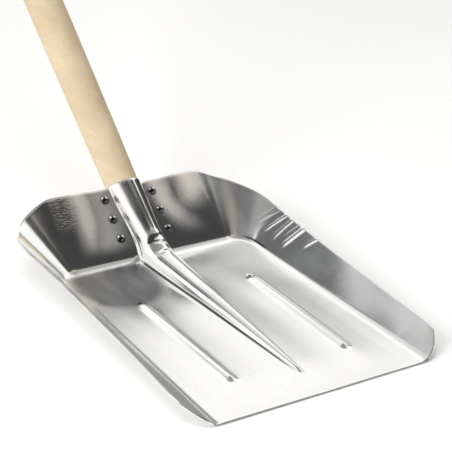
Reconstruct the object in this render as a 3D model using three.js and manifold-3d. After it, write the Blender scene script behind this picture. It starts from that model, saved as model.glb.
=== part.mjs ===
// Snow shovel: a scoop pressed from one aluminium sheet, a riveted back plate that closes the
// half-round socket, and a straight wooden handle held in the socket by a screw.
//
// Millimetres, +Z up. The floor of the scoop lies flat on Z = 0. The origin is on the underside of
// the floor, on the centre line, just behind the cutting edge. +Y runs back to the handle and +X
// to the right of a person who holds the handle.

import * as THREE from 'three';
import Module from 'manifold-3d';
import { mergeVertices } from 'three/addons/utils/BufferGeometryUtils.js';

const wasm = await Module();
wasm.setup();

// ---------------------------------------------------------------- driving dimensions

const SHEET = 1.8;                 // thickness of both pressed sheets
const GAP = 0.3;                   // clearance between pieces that touch

// Scoop floor. "Crease" is where the floor would meet the sloping back wall without a bend.
const EDGE_TO_CREASE = 299;        // cutting edge to crease
const ORIGIN_BEHIND_EDGE = 20;     // origin to cutting edge
const FLOOR_HALF_BACK = 117;       // half width of the floor at the crease
const FLOOR_HALF_FRONT = 126;      // half width of the floor at the cutting edge
const CORNER_RADIUS = 20;          // plan radius of the floor's two back corners

// Back wall and rim
const WALL_ANGLE = THREE.MathUtils.degToRad(38.2);
const WALL_LENGTH = 88;            // up the slope, at the centre
const WALL_CROWN = 2.8;            // extra length 100 mm out from the centre
const BACK_HALF = 94;              // half width of the straight part of the back rim
const RIM_RADIUS = 58.5;           // plan radius of the rim's back corners
const RIM_SIDE_Z = 36.1;           // rim height where the corner meets the side
const RIM_SLOPE = 0.0618;          // fall of the side rim towards the cutting edge
const RIM_WAIST = 150;             // half width of the rim at its narrowest
const RIM_WAIST_Y = -125;          // where that is, from the crease
const BACK_BEND = 20;              // bend radius, floor to back wall
const SIDE_BEND_BACK = 9;          // bend radius, floor to side wall, at the back corner
const SIDE_BEND_FRONT = 36;        // and at the cutting edge
const FRONT_ROUND = 23;            // how far the side walls' front ends are cut back at the rim
const FRONT_ROUND_POWER = 1.9;     // curve of that cut, from the floor up to the rim
const FRONT_TUCK = 1.6;            // how far the rim also comes inwards there
const FRONT_ROUND_REACH = 45;      // rows this far from the edge take part in it

// Stiffening ribs
const RIB_X = 68.7;
const RIB_BACK = -80;
const RIB_FRONT = -248;
const RIB_WIDTH = 14;
const RIB_HEIGHT = 2.8;

// Ridge on the floor and half-round socket on the back wall: one raised form along the centre.
// Each row is [distance along the path from the crease, radius, height of the crest].
const RIDGE_TIP = -266;
const RIDGE_FADE = 14;             // length over which the tip sinks into the floor
const FORM = [
  [-266, 1.4, 1.4],
  [-18, 17.2, 17.2],
  [0, 17.8, 21.2],
  [12, 15.6, 21.2],
  [24, 15.0, 20.4],
  [38, 15.6, 19.4],
  [62, 18.2, 18.4],
  [88, 20.2, 17.0],
];
const FORM_TURN = [-18, 22];       // path stretch over which the form leans from floor to wall
const FORM_FILLET = 1.8;           // radius where the form meets the sheet
const TIP_HALF_WIDTH = 2.6;        // half width kept by the centre strip ahead of the tip

// Rivets
const RIVET_X = 30.1;
const RIVET_S = [28.5, 52, 75.5];  // distances up the back wall
const RIVET_HEAD_RADIUS = 5;
const RIVET_HEAD_HEIGHT = 3.2;
const RIVET_TAIL_RADIUS = 4.6;
const RIVET_TAIL_HEIGHT = 1.6;
const RIVET_SHANK_RADIUS = 2.9;
const DOME_STEPS = 4;

// Back plate
const PLATE_BOTTOM = 19;           // its ends, up the back wall
const PLATE_TOP = 87;
const PLATE_HALF_WIDTH = 39;
const PLATE_FILLET = 2.2;

// Handle, along the slope of the back wall
const HANDLE_DEPTH = 3.2;          // axis below the upper face of the back wall
const HANDLE_TIP = 20;             // lower end, up the slope
const HANDLE_LENGTH = 1300;
const HANDLE_FORM = [              // [distance up the slope, radius]
  [20, 11.2], [22, 12.2], [24, 12.5], [38, 13.2], [62, 15.7], [86, 18], [150, 19.2], [290, 20.4],
];
const HANDLE_RADIUS = 20.4;
const HANDLE_END_ROUND = 9;

// Wood screw through the back plate into the handle
const SCREW_S = 64;
const SCREW_LENGTH = 24;
const SCREW_RADIUS = 2.2;
const SCREW_HEAD_RADIUS = 4.6;
const SCREW_HEAD_HEIGHT = 2.6;

// ---------------------------------------------------------------- materials

const metal = (colour, roughness) => new THREE.MeshStandardMaterial({
  color: colour,
  roughness,
  metalness: 1,
});
const bladeMaterial = () => metal(0xc9cac8, 0.28);
const plateMaterial = () => metal(0xbfc0bf, 0.34);
const rivetMaterial = () => metal(0xb9b9b8, 0.18);
const screwMaterial = () => metal(0xa7a9ab, 0.3);
const woodMaterial = () => new THREE.MeshStandardMaterial({
  color: 0xdcc7a2,
  roughness: 0.55,
  metalness: 0,
});

// ---------------------------------------------------------------- small helpers

const lerp = THREE.MathUtils.lerp;
const clamp = THREE.MathUtils.clamp;
const wallCos = Math.cos(WALL_ANGLE);
const wallSin = Math.sin(WALL_ANGLE);

// Value at q on straight lines between rows of [q, value, ...], read from the given column.
function fromTable(rows, q, column) {
  if (q <= rows[0][0]) return rows[0][column];
  for (let i = 1; i < rows.length; i += 1) {
    const [q0, q1] = [rows[i - 1][0], rows[i][0]];
    if (q <= q1) {
      return lerp(rows[i - 1][column], rows[i][column], (q - q0) / (q1 - q0));
    }
  }
  return rows[rows.length - 1][column];
}

const range = (count) => Array.from({ length: count }, (_, i) => i);

// Closed solid from triangles given as [p, p, p], each p a [x, y, z].
function solidFromTriangles(triangles) {
  const geometry = new THREE.BufferGeometry();
  const flat = new Float32Array(triangles.flat(2));
  geometry.setAttribute('position', new THREE.BufferAttribute(flat, 3));
  return toManifold(geometry);
}

function toManifold(geometry) {
  const bare = geometry.clone();
  bare.deleteAttribute('normal');
  bare.deleteAttribute('uv');
  const merged = mergeVertices(bare, 1e-4);
  const corners = merged.index.array;
  const kept = [];
  for (let i = 0; i < corners.length; i += 3) {
    const [a, b, c] = [corners[i], corners[i + 1], corners[i + 2]];
    if (a !== b && b !== c && c !== a) kept.push(a, b, c);
  }
  return new wasm.Manifold(new wasm.Mesh({
    numProp: 3,
    vertProperties: Float32Array.from(merged.attributes.position.array),
    triVerts: Uint32Array.from(kept),
  }));
}

function toGeometry(manifold) {
  const mesh = manifold.getMesh();
  const geometry = new THREE.BufferGeometry();
  geometry.setAttribute('position', new THREE.BufferAttribute(mesh.vertProperties, 3));
  geometry.setIndex(new THREE.BufferAttribute(mesh.triVerts, 1));
  geometry.computeVertexNormals();
  return geometry;
}

// Two triangles for the quad a b c d, split along its shorter diagonal.
function quad(a, b, c, d) {
  const ac = Math.hypot(a[0] - c[0], a[1] - c[1], a[2] - c[2]);
  const bd = Math.hypot(b[0] - d[0], b[1] - d[1], b[2] - d[2]);
  return ac <= bd ? [[a, b, c], [a, c, d]] : [[a, b, d], [b, c, d]];
}

// Skin over rows of points. rows[j][i] faces up when j runs back and i runs right.
function skin(rows, facingUp) {
  const triangles = [];
  for (let j = 0; j + 1 < rows.length; j += 1) {
    for (let i = 0; i + 1 < rows[j].length; i += 1) {
      const corners = [rows[j][i], rows[j][i + 1], rows[j + 1][i + 1], rows[j + 1][i]];
      triangles.push(...quad(...(facingUp ? corners : corners.reverse())));
    }
  }
  return triangles;
}

// Edge strip between a line of the upper skin and the same line of the lower skin.
function edgeStrip(upper, lower) {
  const triangles = [];
  for (let i = 0; i + 1 < upper.length; i += 1) {
    triangles.push(...quad(upper[i], lower[i], lower[i + 1], upper[i + 1]));
  }
  return triangles;
}

// ---------------------------------------------------------------- raised centre form

const ARC_STEPS = 6;
const FILLET_STEPS = 2;
const BAND = ARC_STEPS + FILLET_STEPS;

// Cross-section of a half-round form pressed out of a sheet: [x, height] of step 0 (crest) to
// BAND (flat sheet). radius and crest belong to the convex face. The concave face is one sheet
// thickness inside it, so its radius is smaller and its fillet larger.
function formProfile(step, radius, crest, fillet, concave) {
  const r = Math.max(concave ? radius - SHEET : radius, 0.3);
  const f = concave ? fillet + SHEET : fillet;
  const top = crest < SHEET && concave ? crest * 0.5 : crest;
  const centre = top - r;
  const rise = Math.min(centre, f);
  const across = Math.sqrt(Math.max((r + f) ** 2 - (f - rise) ** 2, 0));
  const turn = Math.atan2(across, f - rise);
  if (step <= ARC_STEPS) {
    const angle = turn * step / ARC_STEPS;
    return [r * Math.sin(angle), centre + r * Math.cos(angle)];
  }
  const angle = turn * (1 - (step - ARC_STEPS) / FILLET_STEPS);
  return [across - f * Math.sin(angle), f - f * Math.cos(angle)];
}

// [x, height] of the centre strip at a distance along the path. Ahead of the ridge's tip it is a
// flat strip of TIP_HALF_WIDTH each side.
function centreStrip(step, q, concave) {
  const flatX = TIP_HALF_WIDTH * step / BAND;
  const fade = THREE.MathUtils.smoothstep(q, RIDGE_TIP, RIDGE_TIP + RIDGE_FADE);
  if (fade === 0) return [flatX, 0];
  const radius = fromTable(FORM, q, 1);
  const crest = fromTable(FORM, q, 2);
  const [x, height] = formProfile(step, radius, crest, FORM_FILLET, concave);
  return [lerp(flatX, Math.max(x, flatX), fade), height * fade];
}

// ---------------------------------------------------------------- scoop

// Floor half width at y, measured from the crease.
const floorHalf = (y) => lerp(FLOOR_HALF_BACK, FLOOR_HALF_FRONT, -y / EDGE_TO_CREASE);
const fanX = floorHalf(-CORNER_RADIUS) - CORNER_RADIUS;

const backLength = (x) => WALL_LENGTH + WALL_CROWN * (x / 100) ** 2;
const cornerBackY = backLength(BACK_HALF) * wallCos;
const cornerBackZ = backLength(BACK_HALF) * wallSin;
const cornerY = cornerBackY - RIM_RADIUS;
const cornerX = BACK_HALF;
const rimHalf = (y) => RIM_WAIST
  + (cornerX + RIM_RADIUS - RIM_WAIST) * ((y - RIM_WAIST_Y) / (cornerY - RIM_WAIST_Y)) ** 2;
const rimZ = (y) => RIM_SIDE_Z + RIM_SLOPE * (y - cornerY);

// Point on the rim's corner: angle 0 is where it leaves the back rim, PI / 2 the side rim.
function cornerRim(angle) {
  const left = 1 - angle / (Math.PI / 2);
  return [
    cornerX + RIM_RADIUS * Math.sin(angle),
    cornerY + RIM_RADIUS * Math.cos(angle),
    RIM_SIDE_Z + (cornerBackZ - RIM_SIDE_Z) * left ** 2,
  ];
}

const BEND_STEPS = 4;
const WALL_STEPS = 5;

// Section of the scoop's wall along one ray: the flat strip of floor from inner, the bend, and
// the straight wall up to the rim. Returns [point, normal] for each step of the upper face.
function wallSection(inner, crease, rim, bend) {
  const flat = Math.hypot(rim[0] - crease[0], rim[1] - crease[1]);
  const along = [(rim[0] - crease[0]) / flat, (rim[1] - crease[1]) / flat];
  const slope = Math.atan2(rim[2], flat);
  const tangent = bend * Math.tan(slope / 2);
  const section = [[[inner[0], inner[1], 0], [0, 0, 1]]];
  for (const i of range(BEND_STEPS + 1)) {
    const angle = slope * i / BEND_STEPS;
    const out = -tangent + bend * Math.sin(angle);
    const up = bend * (1 - Math.cos(angle));
    section.push([
      [crease[0] + along[0] * out, crease[1] + along[1] * out, up],
      [-along[0] * Math.sin(angle), -along[1] * Math.sin(angle), Math.cos(angle)],
    ]);
  }
  const [start, normal] = section[section.length - 1];
  for (const i of range(WALL_STEPS)) {
    const t = Math.sin((i + 1) / WALL_STEPS * Math.PI / 2);
    section.push([
      [lerp(start[0], rim[0], t), lerp(start[1], rim[1], t), lerp(start[2], rim[2], t)],
      normal,
    ]);
  }
  return section;
}

// Rounds the front end of a side wall: how far back a point moves, from its share up the wall.
function frontRound(share, y) {
  const reach = clamp(1 - (y + EDGE_TO_CREASE) / FRONT_ROUND_REACH, 0, 1);
  return FRONT_ROUND * reach * share ** FRONT_ROUND_POWER;
}

// Right side wall section at y.
function sideSection(y) {
  const inner = [floorHalf(y) - CORNER_RADIUS, y];
  const crease = [floorHalf(y), y];
  const cut = frontRound(1, y);
  const tuck = FRONT_TUCK * (cut / FRONT_ROUND) ** 2;
  const rim = [rimHalf(y + cut) - tuck, y, rimZ(y + cut)];
  const bend = lerp(SIDE_BEND_BACK, SIDE_BEND_FRONT, -y / EDGE_TO_CREASE);
  const section = wallSection(inner, crease, rim, bend);
  for (const [point] of section) {
    const share = clamp((point[0] - crease[0]) / (rim[0] - crease[0]), 0, 1);
    point[1] += frontRound(share, y);
  }
  return section;
}

// Section along a ray from the centre of the floor's right back corner to a point on the rim.
function cornerSection(rim) {
  const ray = Math.atan2(rim[0] - fanX, rim[1] + CORNER_RADIUS);
  const crease = [
    fanX + CORNER_RADIUS * Math.sin(ray),
    -CORNER_RADIUS + CORNER_RADIUS * Math.cos(ray),
  ];
  const sideBend = lerp(SIDE_BEND_BACK, SIDE_BEND_FRONT, CORNER_RADIUS / EDGE_TO_CREASE);
  const bend = lerp(BACK_BEND, sideBend, clamp(ray / (Math.PI / 2), 0, 1));
  return wallSection([fanX, -CORNER_RADIUS], crease, rim, bend);
}

// Path up the middle of the scoop, at distance q from the crease: base point, base normal, and
// the direction in which the centre form stands up.
function centrePath(q, bendPoint) {
  const lean = clamp((q - FORM_TURN[0]) / (FORM_TURN[1] - FORM_TURN[0]), 0, 1) * WALL_ANGLE;
  const stand = [0, -Math.sin(lean), Math.cos(lean)];
  if (bendPoint) return { ...bendPoint, stand };
  if (q <= 0) return { base: [q, 0], normal: [0, 1], stand };
  return { base: [q * wallCos, q * wallSin], normal: [-wallSin, wallCos], stand };
}

// Column positions across half of the floor, outside the centre strip: [x, height].
const RIB_STEPS = 4;
function outerColumns(y, stripEdge) {
  const ribIn = RIB_X - RIB_WIDTH / 2;
  const edge = floorHalf(y) - CORNER_RADIUS;
  const ends = THREE.MathUtils.smoothstep(y, RIB_FRONT, RIB_FRONT + RIB_WIDTH)
    * (1 - THREE.MathUtils.smoothstep(y, RIB_BACK - RIB_WIDTH, RIB_BACK));
  const columns = [[(stripEdge + ribIn) / 2, 0]];
  for (const i of range(RIB_STEPS + 1)) {
    const across = i / RIB_STEPS;
    const height = RIB_HEIGHT * ends * (0.5 - 0.5 * Math.cos(2 * Math.PI * across));
    columns.push([ribIn + RIB_WIDTH * across, height]);
  }
  columns.push([(ribIn + RIB_WIDTH + edge) / 2, 0], [edge, 0]);
  return columns;
}

// Half row of the floor at y: points of one face from the centre to the inner side line.
function floorHalfRow(y, concave) {
  const { stand } = centrePath(y);
  const drop = concave ? -SHEET : 0;
  const strip = range(BAND + 1).map((step) => {
    const [x, height] = centreStrip(step, y, concave);
    return [x, y + stand[1] * height, drop + stand[2] * height];
  });
  const outer = outerColumns(y, strip[BAND][0]).map(([x, height]) => [x, y, drop + height]);
  return [...strip, ...outer];
}

const mirrored = ([x, y, z]) => [-x, y, z];
const fullRow = (half) => [...half.slice(1).reverse().map(mirrored), ...half];

// Rows of y across the floor, closer together where the ridge, ribs and front ends change.
const floorRows = [
  -299, -292, -283, -272, -266, -259, -252, -245, -239, -234, -205, -165, -125, -94, -87, -80,
  -52, -34, -26, -20,
];

// Half rows of the back wall, from the last floor row up to the rim, for one face.
function backHalfRows(concave) {
  const drop = concave ? -SHEET : 0;
  const tangent = BACK_BEND * Math.tan(WALL_ANGLE / 2);
  const stations = [];
  for (const i of range(BEND_STEPS + 1)) {
    const angle = WALL_ANGLE * i / BEND_STEPS;
    stations.push({
      q: lerp(-tangent, tangent, i / BEND_STEPS),
      bendPoint: {
        base: [-tangent + BACK_BEND * Math.sin(angle), BACK_BEND * (1 - Math.cos(angle))],
        normal: [-Math.sin(angle), Math.cos(angle)],
      },
      share: 0,
    });
  }
  for (const i of range(WALL_STEPS)) {
    stations.push({ share: Math.sin((i + 1) / WALL_STEPS * Math.PI / 2) });
  }
  const innerEdge = floorHalf(-CORNER_RADIUS) - CORNER_RADIUS;
  const floorX = floorHalfRow(-CORNER_RADIUS, false).map(([x]) => x);
  return stations.map(({ q, bendPoint, share }) => {
    const place = (x, column) => {
      const length = backLength(x);
      const distance = bendPoint ? q : lerp(tangent, length, share);
      const path = centrePath(distance, bendPoint);
      let [offset, height] = [x, 0];
      if (column <= BAND) [offset, height] = centreStrip(column, distance, concave);
      return [
        offset,
        path.base[0] + path.normal[0] * drop + path.stand[1] * height,
        path.base[1] + path.normal[1] * drop + path.stand[2] * height,
      ];
    };
    const spread = bendPoint ? (q + CORNER_RADIUS) : lerp(tangent, WALL_LENGTH, share)
      + CORNER_RADIUS;
    const narrow = lerp(1, BACK_HALF / innerEdge, spread / (WALL_LENGTH + CORNER_RADIUS));
    return floorX.map((x, column) => place(x * narrow, column));
  });
}

// One face of the scoop as patches of rows, and the lines along its free edges.
function scoopFace(concave) {
  const drop = concave ? -SHEET : 0;
  const offset = (section) => section.map(([point, normal]) => [
    point[0] + normal[0] * drop,
    point[1] + normal[1] * drop,
    point[2] + normal[2] * drop,
  ]);
  const floor = floorRows.map((y) => fullRow(floorHalfRow(y, concave)));
  const right = floorRows.map((y) => offset(sideSection(y)));

  // Rays of the corner, from the side round to the back
  const cornerRays = [];
  for (const i of range(3)) {
    const y = lerp(-CORNER_RADIUS, cornerY, (i + 1) / 4);
    cornerRays.push(offset(cornerSection([rimHalf(y), y, rimZ(y)])));
  }
  for (const i of range(8)) {
    cornerRays.push(offset(cornerSection(cornerRim((1 - i / 8) * Math.PI / 2))));
  }

  const backRows = backHalfRows(concave);
  const backEnd = backRows.map((row) => row[row.length - 1]);
  const fan = floor[floor.length - 1][floor[0].length - 1];
  const corner = [right[right.length - 1], ...cornerRays, [fan, ...backEnd]];
  const back = [floor[floor.length - 1], ...backRows.map(fullRow)];
  return { floor, right, corner, back };
}

function blade() {
  const upper = scoopFace(false);
  const lower = scoopFace(true);
  const triangles = [];
  const mirrorTriangles = (list) => list.map(([a, b, c]) => [c, b, a].map(mirrored));

  for (const [face, up] of [[upper, true], [lower, false]]) {
    triangles.push(...skin(face.floor, up), ...skin(face.back, up));
    const half = [...skin(face.right, up), ...skin(face.corner, up)];
    triangles.push(...half, ...mirrorTriangles(half));
  }

  // Free edges: cutting edge, front ends, side rims and back rim
  const last = (rows) => rows.map((row) => row[row.length - 1]);
  const halfEdges = [
    ...edgeStrip(upper.right[0], lower.right[0]),
    ...edgeStrip(last(upper.right), last(lower.right)),
    ...edgeStrip(last(upper.corner), last(lower.corner)),
  ];
  const backTop = (face) => [...face.back[face.back.length - 1]].reverse();
  triangles.push(
    ...edgeStrip(upper.floor[0], lower.floor[0]),
    ...halfEdges,
    ...mirrorTriangles(halfEdges),
    ...edgeStrip(backTop(upper), backTop(lower)),
  );
  return solidFromTriangles(triangles);
}

// ---------------------------------------------------------------- frame of the back wall

// Group whose +Y runs up the back wall and +Z out of its upper face, with its origin on the
// crease. Pieces in it are placed by x, distance up the wall, and height.
const wallFrame = new THREE.Matrix4()
  .makeRotationX(WALL_ANGLE);

function placedOnWall(geometry, x, s, height) {
  const placed = geometry.clone();
  placed.applyMatrix4(new THREE.Matrix4().makeTranslation(x, s, height));
  placed.applyMatrix4(wallFrame);
  return placed;
}

// Round body about the wall's normal from [radius, height] points on or off the axis.
function turnedOnWall(profile, x, s, height, sides) {
  const points = profile.map(([r, h]) => new THREE.Vector2(r, h));
  const lathe = new THREE.LatheGeometry(points, sides);
  lathe.rotateX(Math.PI / 2);
  return placedOnWall(lathe, x, s, height);
}

const rivetPlaces = RIVET_S.flatMap((s) => [[-RIVET_X, s], [RIVET_X, s]]);

function rivetHole([x, s]) {
  const radius = RIVET_SHANK_RADIUS + GAP;
  const profile = [[0, -12], [radius, -12], [radius, 12], [0, 12]];
  return toManifold(turnedOnWall(profile, x, s, 0, 16));
}

// ---------------------------------------------------------------- back plate

// The plate's upper face lies just under the back wall. Its trough is a half-round form pressed
// away from the wall, round the handle.
const plateUpper = -SHEET - GAP;
const handleRadiusAt = (s) => fromTable(HANDLE_FORM, s, 1);
const troughRadius = (s) => handleRadiusAt(s) + SHEET + 2 * GAP;
const troughDepth = (s) => handleRadiusAt(s) + HANDLE_DEPTH + plateUpper + 2 * GAP;

function backPlate() {
  const rows = { false: [], true: [] };
  for (const concave of [false, true]) {
    for (const s of [PLATE_BOTTOM, 24, 38, 50, 62, 74, PLATE_TOP]) {
      const [radius, depth] = [troughRadius(s), troughDepth(s)];
      const sheetFace = plateUpper - SHEET + (concave ? SHEET : 0);
      const half = range(BAND + 1).map((step) => {
        const [x, height] = formProfile(step, radius, depth, PLATE_FILLET, concave);
        return [x, s, sheetFace - height];
      });
      half.push([(half[BAND][0] + PLATE_HALF_WIDTH) / 2, s, sheetFace]);
      half.push([PLATE_HALF_WIDTH, s, sheetFace]);
      rows[concave].push(fullRow(half));
    }
  }
  const [outer, inner] = [rows.false, rows.true];
  const column = (face, i) => face.map((row) => row[i]);
  const end = outer[0].length - 1;
  const triangles = [
    ...skin(inner, true),
    ...skin(outer, false),
    ...edgeStrip(inner[0], outer[0]),
    ...edgeStrip([...inner[inner.length - 1]].reverse(), [...outer[outer.length - 1]].reverse()),
    ...edgeStrip(column(inner, end), column(outer, end)),
    ...edgeStrip(column(inner, 0).reverse(), column(outer, 0).reverse()),
  ];
  const placed = triangles.map((triangle) => triangle.map((p) => new THREE.Vector3(...p)
    .applyMatrix4(wallFrame).toArray()));
  return solidFromTriangles(placed);
}

// ---------------------------------------------------------------- handle, rivets, screw

function handleBody() {
  const top = HANDLE_TIP + HANDLE_LENGTH;
  const profile = [[0, HANDLE_TIP]];
  profile.push(...HANDLE_FORM.map(([s, radius]) => [radius, s]));
  for (const i of range(5)) {
    const angle = i / 4 * Math.PI / 2;
    const inset = HANDLE_END_ROUND * (1 - Math.cos(angle));
    const back = HANDLE_END_ROUND * (1 - Math.sin(angle));
    profile.push([HANDLE_RADIUS - inset, top - back]);
  }
  profile.push([0, top]);
  const points = profile.map(([r, s]) => new THREE.Vector2(r, s));
  const lathe = new THREE.LatheGeometry(points, 36);
  return placedOnWall(lathe, 0, 0, -HANDLE_DEPTH);
}

// The screw is square to the wall. The trough is tapered, so the head sits on its deeper side.
const screwSeat = plateUpper - SHEET - troughDepth(SCREW_S + SCREW_HEAD_RADIUS);
const screwProfile = (clearance) => {
  const tip = screwSeat + SCREW_LENGTH + clearance;
  const radius = SCREW_RADIUS + clearance;
  const under = screwSeat - GAP + clearance;
  return { tip, radius, under };
};

function screwBody() {
  const { tip, radius, under } = screwProfile(0);
  const head = under - SCREW_HEAD_HEIGHT;
  return turnedOnWall([
    [0, head],
    [SCREW_HEAD_RADIUS * 0.6, head],
    [SCREW_HEAD_RADIUS * 0.92, head + 0.9],
    [SCREW_HEAD_RADIUS, under - 0.3],
    [SCREW_HEAD_RADIUS, under],
    [radius, under],
    [radius, tip - 6],
    [0, tip],
  ], 0, SCREW_S, 0, 20);
}

function screwHole() {
  const { tip, radius, under } = screwProfile(GAP);
  const profile = [[0, under - 8], [radius, under - 8], [radius, tip - 5.6], [0, tip + 0.4]];
  return toManifold(turnedOnWall(profile, 0, SCREW_S, 0, 16));
}

function rivetBody([x, s]) {
  const seat = GAP;
  const tailSeat = plateUpper - SHEET - GAP;
  const dome = range(DOME_STEPS).map((i) => {
    const angle = i / DOME_STEPS * Math.PI / 2;
    return [RIVET_HEAD_RADIUS * Math.cos(angle), seat + 0.5 + RIVET_HEAD_HEIGHT * Math.sin(angle)];
  });
  const profile = [
    [0, tailSeat - RIVET_TAIL_HEIGHT],
    [RIVET_TAIL_RADIUS * 0.75, tailSeat - RIVET_TAIL_HEIGHT],
    [RIVET_TAIL_RADIUS, tailSeat - RIVET_TAIL_HEIGHT * 0.4],
    [RIVET_TAIL_RADIUS, tailSeat],
    [RIVET_SHANK_RADIUS, tailSeat],
    [RIVET_SHANK_RADIUS, seat],
    [RIVET_HEAD_RADIUS, seat],
    ...dome,
    [0, seat + 0.5 + RIVET_HEAD_HEIGHT],
  ];
  return turnedOnWall(profile, x, s, 0, 16);
}

// ---------------------------------------------------------------- assembly

const shovel = new THREE.Group();
shovel.position.set(0, EDGE_TO_CREASE - ORIGIN_BEHIND_EDGE, SHEET);

function addPiece(name, geometry, material) {
  const mesh = new THREE.Mesh(geometry, material);
  mesh.name = name;
  shovel.add(mesh);
}

const cutAll = (body, tools) => tools.reduce((left, tool) => left.subtract(tool), body);
const rivetHoles = rivetPlaces.map(rivetHole);

addPiece('blade', toGeometry(cutAll(blade(), rivetHoles)), bladeMaterial());
addPiece(
  'socket_back_plate',
  toGeometry(cutAll(backPlate(), [...rivetHoles, screwHole()])),
  plateMaterial(),
);
addPiece('handle', toGeometry(toManifold(handleBody()).subtract(screwHole())), woodMaterial());
addPiece('handle_screw', screwBody(), screwMaterial());
rivetPlaces.forEach((place, i) => {
  addPiece(`rivet_${i + 1}`, rivetBody(place), rivetMaterial());
});

export default shovel;
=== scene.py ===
"""Looks of the snow shovel: pressed aluminium scoop, riveted socket and turned wooden handle.

Shapes are worked out in millimetres in the scoop's own frame: X = 0 is the plane of symmetry, Y = 0 the
crease between floor and back wall, Z = 0 the upper face of the floor. +Y runs towards the handle.
Materials use the model's frame, in metres.
"""

import math

import bpy
import numpy as np
from mathutils import Matrix, Vector


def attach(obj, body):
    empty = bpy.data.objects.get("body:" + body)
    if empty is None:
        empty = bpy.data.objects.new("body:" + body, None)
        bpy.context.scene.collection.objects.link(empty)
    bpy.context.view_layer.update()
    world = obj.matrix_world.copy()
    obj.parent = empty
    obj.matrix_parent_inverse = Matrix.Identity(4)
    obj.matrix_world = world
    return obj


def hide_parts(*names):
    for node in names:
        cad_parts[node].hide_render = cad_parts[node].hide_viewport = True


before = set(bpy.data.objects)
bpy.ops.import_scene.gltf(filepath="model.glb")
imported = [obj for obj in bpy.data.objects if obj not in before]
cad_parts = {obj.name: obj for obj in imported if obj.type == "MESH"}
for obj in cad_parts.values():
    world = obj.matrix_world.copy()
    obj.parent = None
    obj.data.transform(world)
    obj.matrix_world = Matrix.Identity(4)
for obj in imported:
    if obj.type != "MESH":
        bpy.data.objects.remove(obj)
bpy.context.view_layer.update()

# ------------ dimensions, mm

SHEET = 1.8
GAP = 0.3
EDGE_TO_CREASE = 299.0
ORIGIN_BEHIND_EDGE = 20.0
FLOOR_HALF_BACK = 117.0
FLOOR_HALF_FRONT = 126.0
CORNER_RADIUS = 20.0
EDGE_BULGE = 0.4

WALL_ANGLE = math.radians(38.2)
WALL_LENGTH = 88.0
WALL_CROWN = 2.8
BACK_HALF = 94.0
RIM_RADIUS = 58.5
RIM_SIDE_Z = 36.1
RIM_SLOPE = 0.0618
RIM_WAIST = 150.0
RIM_WAIST_Y = -125.0
BACK_BEND = 20.0
SIDE_BEND_BACK = 9.0
SIDE_BEND_FRONT = 17.0
SIDE_BEND_POWER = 1.8
FRONT_ROUND = 23.0
FRONT_ROUND_POWER = 1.9
FRONT_TUCK = 1.6
FRONT_ROUND_REACH = 45.0

RIB_X = 68.7
RIB_BACK = -80.0
RIB_FRONT = -248.0
RIB_WIDTH = 14.0
RIB_HEIGHT = 2.8
RIB_END = 9.0
PIT_RADIUS = 3.8
PIT_DEPTH = 1.6

# Half-round form of ridge and socket: (place, radius, height of the crest). Places run along the
# floor, through 0 at the crease, and on up the back wall.
RIDGE_TIP = -266.0
RIDGE_FADE = 14.0
FORM = [
    (RIDGE_TIP, 1.4, 1.4),
    (-18, 17.2, 17.2),
    (0, 17.8, 21.2),
    (12, 15.6, 21.2),
    (24, 15.0, 20.4),
    (38, 15.6, 19.4),
    (62, 18.2, 18.4),
    (88, 20.2, 17.0),
]
FORM_SPREAD = 4.0
FORM_TURN = (-24.0, 28.0)
RIDGE_FILLET = 5.0
TUBE_FILLET = 2.6
FILLET_CHANGE = 16.0
TIP_HALF_WIDTH = 2.6
TIP_THINNING = 0.7
# Steps pressed across the neck where the ridge turns up the wall: (place, height, spread)
NECK_FOLDS = [
    (15.0, 1.0, 3.6),
    (4.5, -1.35, 3.0),
    (-5.5, 0.7, 3.4),
    (-14.5, -1.5, 1.8),
    (-19.0, 0.5, 2.6),
]

# Puckers in the side walls by the back corners: (y at the rim, y at the foot, share of the wall's
# height at the foot, width, depth)
PUCKERS = [
    (-7.0, 4.0, 0.42, 2.8, 0.20),
    (-17.0, -1.0, 0.40, 2.8, 0.22),
    (-30.0, -15.0, 0.16, 3.2, 0.20),
    (-41.0, -34.0, 0.14, 3.4, 0.27),
    (-51.0, -43.0, 0.45, 2.8, 0.17),
    (-62.0, -52.0, 0.16, 3.6, 0.36),
    (-86.0, -77.0, 0.52, 3.2, 0.20),
]
PUCKER_BOW = 2.4
# Long swells up the back wall: (x at the crease, x at the rim, width, height, distance up the wall
# where the swell starts, and where it is full)
SWELLS = [
    (35.0, 38.0, 5.0, 0.55, 20.0, 60.0),
    (22.0, 64.0, 10.0, 1.80, 20.0, 70.0),
    (-76.0, -68.0, 7.0, 0.70, 10.0, 60.0),
    (-47.0, -44.0, 6.0, 0.40, 5.0, 30.0),
]
# Shallow rises along the ridge and the ribs: (centre, width, height)
RISES = [
    (0.0, 22.0, 0.90),
    (-RIB_X, 15.0, 0.45),
    (RIB_X, 15.0, 0.65),
]
# Slow waves in the floor, height * sin(x / across + y / along): (height, across, along)
WAVES = [
    (0.04, 13.0, 31.0),
    (0.05, -27.0, 21.0),
]

RIVET_X = 30.1
RIVET_S = (28.5, 52.0, 75.5)
RIVET_HEAD_RADIUS = 5.0
RIVET_HEAD_HEIGHT = 3.2
RIVET_SHANK_RADIUS = 2.9
RIVET_TAIL_RADIUS = 4.6
RIVET_TAIL_HEIGHT = 1.6
RIVET_SEAT = 0.12
RIVET_LIP = 0.3

PLATE_BOTTOM = 19.0
PLATE_TOP = 87.0
PLATE_HALF_WIDTH = 39.0
PLATE_FILLET = 2.2
PLATE_CORNER = 8.0
PLATE_TROUGH = (20.6, 86.0)

HANDLE_RADIUS = 20.4
HANDLE_LENGTH = 1300.0
HANDLE_TIP = 20.0
HANDLE_DEPTH = 3.2
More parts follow.
